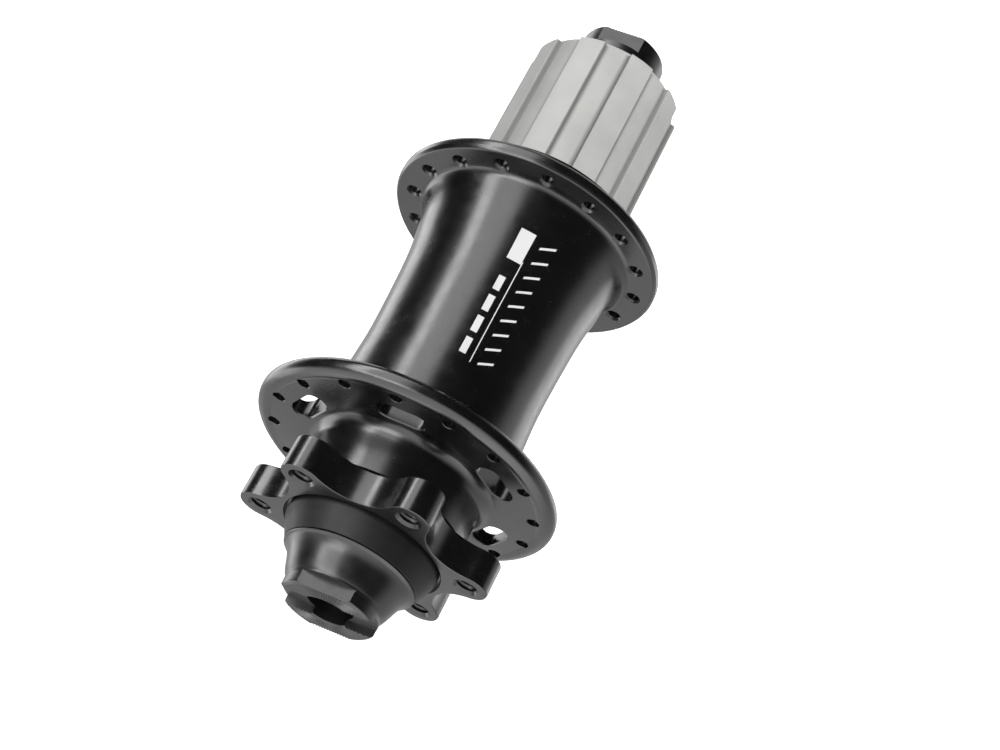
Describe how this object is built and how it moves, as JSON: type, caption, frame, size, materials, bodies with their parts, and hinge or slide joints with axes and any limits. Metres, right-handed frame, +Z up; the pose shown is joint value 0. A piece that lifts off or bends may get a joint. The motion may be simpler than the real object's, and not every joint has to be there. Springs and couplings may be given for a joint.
{
  "type": "bicycle rear hub",
  "caption": "Bicycle rear hub: flanged shell with lobed disc rotor mount, splined freehub with sprung pawls and ratchet ring, cartridge bearings on a hollow through axle.",
  "frame": {"origin": "on the hub axis, midway between the two end faces that the dropouts clamp", "axes": "+Z up, +X forward, +Y along the hub axis to the disc side"},
  "size_m": [0.0644, 0.148, 0.0644],
  "materials": {
    "black_anodised": "gloss black anodised",
    "satin_black": "satin black anodised",
    "blasted_aluminium": "bead-blasted grey",
    "black_rubber": "matt moulded rubber",
    "bearing_steel": "ground steel",
    "hardened_steel": "machined and hardened",
    "spring_steel": "drawn spring steel"
  },
  "bodies": {
    "axle_assembly": {"axle": "satin_black", "disc_end_cap": "black_anodised", "drive_end_cap": "black_anodised", "disc_cap_o_ring": "black_rubber", "drive_cap_o_ring": "black_rubber", "disc_dust_cover": "black_rubber", "shell_to_freehub_spacer": "satin_black", "freehub_bearing_spacer": "satin_black", "disc_bearing_inner_ring": "bearing_steel", "drive_bearing_inner_ring": "bearing_steel", "freehub_inboard_bearing_inner_ring": "bearing_steel", "freehub_outboard_bearing_inner_ring": "bearing_steel"},
    "hub_shell_assembly": {"hub_shell": "black_anodised", "ratchet_ring": "hardened_steel", "freehub_lip_seal": "black_rubber", "disc_bearing_outer_ring": "bearing_steel", "disc_bearing_disc_side_seal": "black_rubber", "disc_bearing_drive_side_seal": "black_rubber", "drive_bearing_outer_ring": "bearing_steel", "drive_bearing_disc_side_seal": "black_rubber", "drive_bearing_drive_side_seal": "black_rubber"},
    "freehub_assembly": {"freehub_body": "blasted_aluminium", "freehub_snap_ring": "spring_steel", "pawl_spring_1": "spring_steel", "pawl_spring_2": "spring_steel", "pawl_spring_3": "spring_steel", "pawl_spring_4": "spring_steel", "freehub_inboard_bearing_outer_ring": "bearing_steel", "freehub_inboard_bearing_disc_side_seal": "black_rubber", "freehub_inboard_bearing_drive_side_seal": "black_rubber", "freehub_outboard_bearing_outer_ring": "bearing_steel", "freehub_outboard_bearing_disc_side_seal": "black_rubber", "freehub_outboard_bearing_drive_side_seal": "black_rubber"},
    "pawl_1_body": {"pawl_1": "hardened_steel"},
    "pawl_2_body": {"pawl_2": "hardened_steel"},
    "pawl_3_body": {"pawl_3": "hardened_steel"},
    "pawl_4_body": {"pawl_4": "hardened_steel"},
    "disc_bearing_cage": {"disc_bearing_balls": "bearing_steel"},
    "drive_bearing_cage": {"drive_bearing_balls": "bearing_steel"},
    "freehub_inboard_bearing_cage": {"freehub_inboard_bearing_balls": "bearing_steel"},
    "freehub_outboard_bearing_cage": {"freehub_outboard_bearing_balls": "bearing_steel"}
  },
  "joints": [
    {"name": "shell_spin", "type": "hinge", "parent": "axle_assembly", "child": "hub_shell_assembly", "pos_m": [0, 0, 0], "axis": [0, 1, 0], "continuous": true},
    {"name": "freehub_spin", "type": "hinge", "parent": "axle_assembly", "child": "freehub_assembly", "pos_m": [0, 0, 0], "axis": [0, 1, 0], "continuous": true},
    {"name": "pawl_1_pivot", "type": "hinge", "parent": "freehub_assembly", "child": "pawl_1_body", "pos_m": [0.01278, -0.0215, 0.00465], "axis": [0, 1, 0], "range_deg": [0, 12], "stiffness_Nm_per_rad": 0.002, "springref_deg": -17.19},
    {"name": "pawl_2_pivot", "type": "hinge", "parent": "freehub_assembly", "child": "pawl_2_body", "pos_m": [-0.00465, -0.0215, 0.01278], "axis": [0, 1, 0], "range_deg": [0, 12], "stiffness_Nm_per_rad": 0.002, "springref_deg": -17.19},
    {"name": "pawl_3_pivot", "type": "hinge", "parent": "freehub_assembly", "child": "pawl_3_body", "pos_m": [-0.01278, -0.0215, -0.00465], "axis": [0, 1, 0], "range_deg": [0, 12], "stiffness_Nm_per_rad": 0.002, "springref_deg": -17.19},
    {"name": "pawl_4_pivot", "type": "hinge", "parent": "freehub_assembly", "child": "pawl_4_body", "pos_m": [0.00465, -0.0215, -0.01278], "axis": [0, 1, 0], "range_deg": [0, 12], "stiffness_Nm_per_rad": 0.002, "springref_deg": -17.19},
    {"name": "disc_bearing_cage_spin", "type": "hinge", "parent": "axle_assembly", "child": "disc_bearing_cage", "pos_m": [0, 0.0539, 0], "axis": [0, 1, 0], "continuous": true},
    {"name": "drive_bearing_cage_spin", "type": "hinge", "parent": "axle_assembly", "child": "drive_bearing_cage", "pos_m": [0, -0.012, 0], "axis": [0, 1, 0], "continuous": true},
    {"name": "freehub_inboard_bearing_cage_spin", "type": "hinge", "parent": "axle_assembly", "child": "freehub_inboard_bearing_cage", "pos_m": [0, -0.0305, 0], "axis": [0, 1, 0], "continuous": true},
    {"name": "freehub_outboard_bearing_cage_spin", "type": "hinge", "parent": "axle_assembly", "child": "freehub_outboard_bearing_cage", "pos_m": [0, -0.0585, 0], "axis": [0, 1, 0], "continuous": true}
  ],
  "couplings": [
    {"joint": "pawl_2_pivot", "follows": "pawl_1_pivot", "ratio": 1},
    {"joint": "pawl_3_pivot", "follows": "pawl_1_pivot", "ratio": 1},
    {"joint": "pawl_4_pivot", "follows": "pawl_1_pivot", "ratio": 1},
    {"joint": "disc_bearing_cage_spin", "follows": "shell_spin", "ratio": 0.5691},
    {"joint": "drive_bearing_cage_spin", "follows": "shell_spin", "ratio": 0.5691},
    {"joint": "freehub_inboard_bearing_cage_spin", "follows": "freehub_spin", "ratio": 0.5523},
    {"joint": "freehub_outboard_bearing_cage_spin", "follows": "freehub_spin", "ratio": 0.5523}
  ]
}
